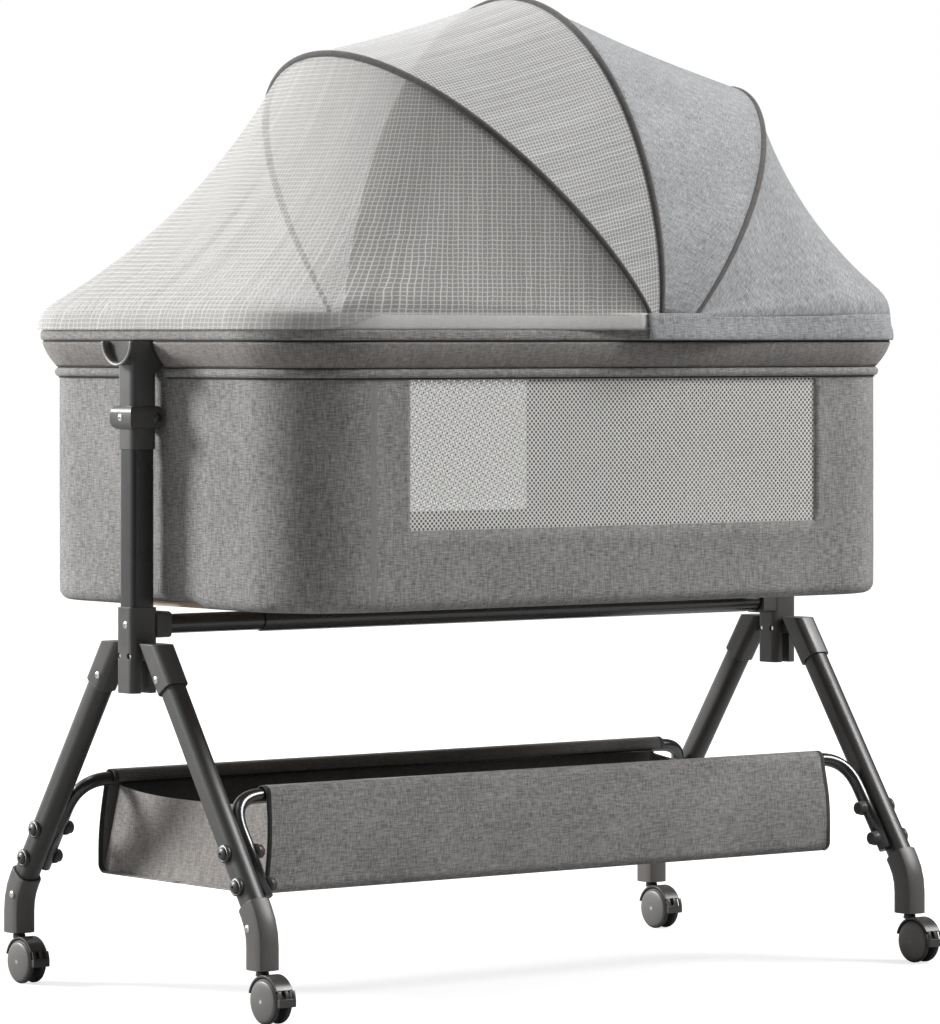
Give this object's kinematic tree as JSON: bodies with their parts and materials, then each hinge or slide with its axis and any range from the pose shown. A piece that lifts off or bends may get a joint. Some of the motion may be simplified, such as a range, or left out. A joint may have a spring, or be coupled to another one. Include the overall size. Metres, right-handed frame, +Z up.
{
  "type": "wheeled bedside cot",
  "caption": "Wheeled bedside cot: fabric tub with mesh windows on folding A-frame stands, with a folding net canopy and a storage basket.",
  "frame": {"origin": "centre of the footprint, on the floor", "axes": "+X along the cot to the end with the closed hood, +Y across it, +Z up"},
  "size_m": [0.9676, 0.59, 1.1004],
  "materials": {
    "charcoal_plastic": "matte moulded plastic",
    "black_tube": "semi-gloss black powder coat",
    "steel_pin": "zinc plated",
    "caster_plastic": "satin moulded plastic",
    "heather_fabric": "heather linen weave",
    "pale_net": "fine net",
    "dark_piping": "hoop in a dark fabric sleeve",
    "board": "bare fibreboard",
    "mattress_cover": "cotton knit"
  },
  "bodies": {
    "stand": {"hub_left": "charcoal_plastic", "hub_right": "charcoal_plastic", "post_left": "black_tube", "post_right": "black_tube", "crossbar_inner": "black_tube", "crossbar_outer": "black_tube", "pivot_pin_front_left": "steel_pin", "pivot_pin_front_right": "steel_pin", "pivot_pin_back_left": "steel_pin", "pivot_pin_back_right": "steel_pin", "basket": "heather_fabric"},
    "legs_front": {"basket_rail_front": "black_tube", "leg_socket_front_left": "charcoal_plastic", "leg_tube_front_left": "black_tube", "foot_elbow_front_left": "charcoal_plastic", "leg_socket_front_right": "charcoal_plastic", "leg_tube_front_right": "black_tube", "foot_elbow_front_right": "charcoal_plastic"},
    "legs_back": {"basket_rail_back": "black_tube", "leg_socket_back_left": "charcoal_plastic", "leg_tube_back_left": "black_tube", "foot_elbow_back_left": "charcoal_plastic", "leg_socket_back_right": "charcoal_plastic", "leg_tube_back_right": "black_tube", "foot_elbow_back_right": "charcoal_plastic"},
    "tub": {"tub_shell": "heather_fabric", "floor_board": "board", "mattress": "mattress_cover", "rim_ring": "heather_fabric", "window_net_front": "pale_net", "window_net_back": "pale_net", "height_sleeve_left": "charcoal_plastic", "height_sleeve_right": "charcoal_plastic", "clamp_collar_left": "charcoal_plastic", "clamp_collar_right": "charcoal_plastic", "hoop_bracket_front": "charcoal_plastic", "hoop_bracket_back": "charcoal_plastic", "hood_rear_panel": "heather_fabric"},
    "canopy_rear": {"hoop_rear": "dark_piping", "hood_top_panel": "heather_fabric"},
    "canopy_mid": {"hoop_mid": "dark_piping", "net_top_panel": "pale_net"},
    "canopy_front": {"hoop_front": "dark_piping", "net_front_panel": "pale_net"},
    "caster_front_left": {"caster_body_front_left": "caster_plastic"},
    "wheels_front_left": {"caster_wheels_front_left": "caster_plastic"},
    "brake_front_left": {"brake_lever_front_left": "caster_plastic"},
    "caster_front_right": {"caster_body_front_right": "caster_plastic"},
    "wheels_front_right": {"caster_wheels_front_right": "caster_plastic"},
    "brake_front_right": {"brake_lever_front_right": "caster_plastic"},
    "caster_back_left": {"caster_body_back_left": "caster_plastic"},
    "wheels_back_left": {"caster_wheels_back_left": "caster_plastic"},
    "brake_back_left": {"brake_lever_back_left": "caster_plastic"},
    "caster_back_right": {"caster_body_back_right": "caster_plastic"},
    "wheels_back_right": {"caster_wheels_back_right": "caster_plastic"},
    "brake_back_right": {"brake_lever_back_right": "caster_plastic"},
    "pull_left": {"release_pull_left": "charcoal_plastic"},
    "pull_right": {"release_pull_right": "charcoal_plastic"}
  },
  "joints": [
    {"name": "tub_height", "type": "slide", "parent": "stand", "child": "tub", "axis": [0, 0, 1], "range_m": [0, 0.07]},
    {"name": "legs_front_fold", "type": "hinge", "parent": "stand", "child": "legs_front", "pos_m": [0, -0.009, 0.372], "axis": [1, 0, 0], "range_deg": [0, 25], "deforming": ["basket"]},
    {"name": "legs_back_fold", "type": "hinge", "parent": "stand", "child": "legs_back", "pos_m": [0, 0.009, 0.372], "axis": [-1, 0, 0], "range_deg": [0, 25], "deforming": ["basket"]},
    {"name": "swivel_front_left", "type": "hinge", "parent": "legs_front", "child": "caster_front_left", "pos_m": [-0.457, -0.23, 0.06], "axis": [0, 0, 1], "continuous": true},
    {"name": "wheel_spin_front_left", "type": "hinge", "parent": "caster_front_left", "child": "wheels_front_left", "pos_m": [-0.457, -0.2455, 0.024], "axis": [1, 0, 0], "continuous": true},
    {"name": "brake_lift_front_left", "type": "hinge", "parent": "caster_front_left", "child": "brake_front_left", "pos_m": [-0.457, -0.26109, 0.033], "axis": [-1, 0, 0], "range_deg": [0, 12]},
    {"name": "swivel_front_right", "type": "hinge", "parent": "legs_front", "child": "caster_front_right", "pos_m": [0.457, -0.23, 0.06], "axis": [0, 0, 1], "continuous": true},
    {"name": "wheel_spin_front_right", "type": "hinge", "parent": "caster_front_right", "child": "wheels_front_right", "pos_m": [0.457, -0.2455, 0.024], "axis": [1, 0, 0], "continuous": true},
    {"name": "brake_lift_front_right", "type": "hinge", "parent": "caster_front_right", "child": "brake_front_right", "pos_m": [0.457, -0.26109, 0.033], "axis": [-1, 0, 0], "range_deg": [0, 12]},
    {"name": "swivel_back_left", "type": "hinge", "parent": "legs_back", "child": "caster_back_left", "pos_m": [-0.457, 0.23, 0.06], "axis": [0, 0, 1], "continuous": true},
    {"name": "wheel_spin_back_left", "type": "hinge", "parent": "caster_back_left", "child": "wheels_back_left", "pos_m": [-0.457, 0.2145, 0.024], "axis": [1, 0, 0], "continuous": true},
    {"name": "brake_lift_back_left", "type": "hinge", "parent": "caster_back_left", "child": "brake_back_left", "pos_m": [-0.457, 0.19891, 0.033], "axis": [-1, 0, 0], "range_deg": [0, 12]},
    {"name": "swivel_back_right", "type": "hinge", "parent": "legs_back", "child": "caster_back_right", "pos_m": [0.457, 0.23, 0.06], "axis": [0, 0, 1], "continuous": true},
    {"name": "wheel_spin_back_right", "type": "hinge", "parent": "caster_back_right", "child": "wheels_back_right", "pos_m": [0.457, 0.2145, 0.024], "axis": [1, 0, 0], "continuous": true},
    {"name": "brake_lift_back_right", "type": "hinge", "parent": "caster_back_right", "child": "brake_back_right", "pos_m": [0.457, 0.19891, 0.033], "axis": [-1, 0, 0], "range_deg": [0, 12]},
    {"name": "release_pull_left", "type": "slide", "parent": "tub", "child": "pull_left", "axis": [-1, 0, 0], "range_m": [0, 0.008], "stiffness_N_per_m": 400, "springref_m": -0.004},
    {"name": "release_pull_right", "type": "slide", "parent": "tub", "child": "pull_right", "axis": [1, 0, 0], "range_m": [0, 0.008], "stiffness_N_per_m": 400, "springref_m": -0.004},
    {"name": "canopy_rear_fold", "type": "hinge", "parent": "tub", "child": "canopy_rear", "pos_m": [0.043, 0, 0.724], "axis": [0, 1, 0], "range_deg": [0, 16], "deforming": ["hood_rear_panel"]},
    {"name": "canopy_mid_fold", "type": "hinge", "parent": "canopy_rear", "child": "canopy_mid", "pos_m": [0.043, 0, 0.724], "axis": [0, 1, 0], "range_deg": [0, 40], "deforming": ["hood_top_panel"]},
    {"name": "canopy_front_fold", "type": "hinge", "parent": "canopy_mid", "child": "canopy_front", "pos_m": [0.043, 0, 0.724], "axis": [0, 1, 0], "range_deg": [0, 26], "deforming": ["net_top_panel", "net_front_panel"]}
  ]
}
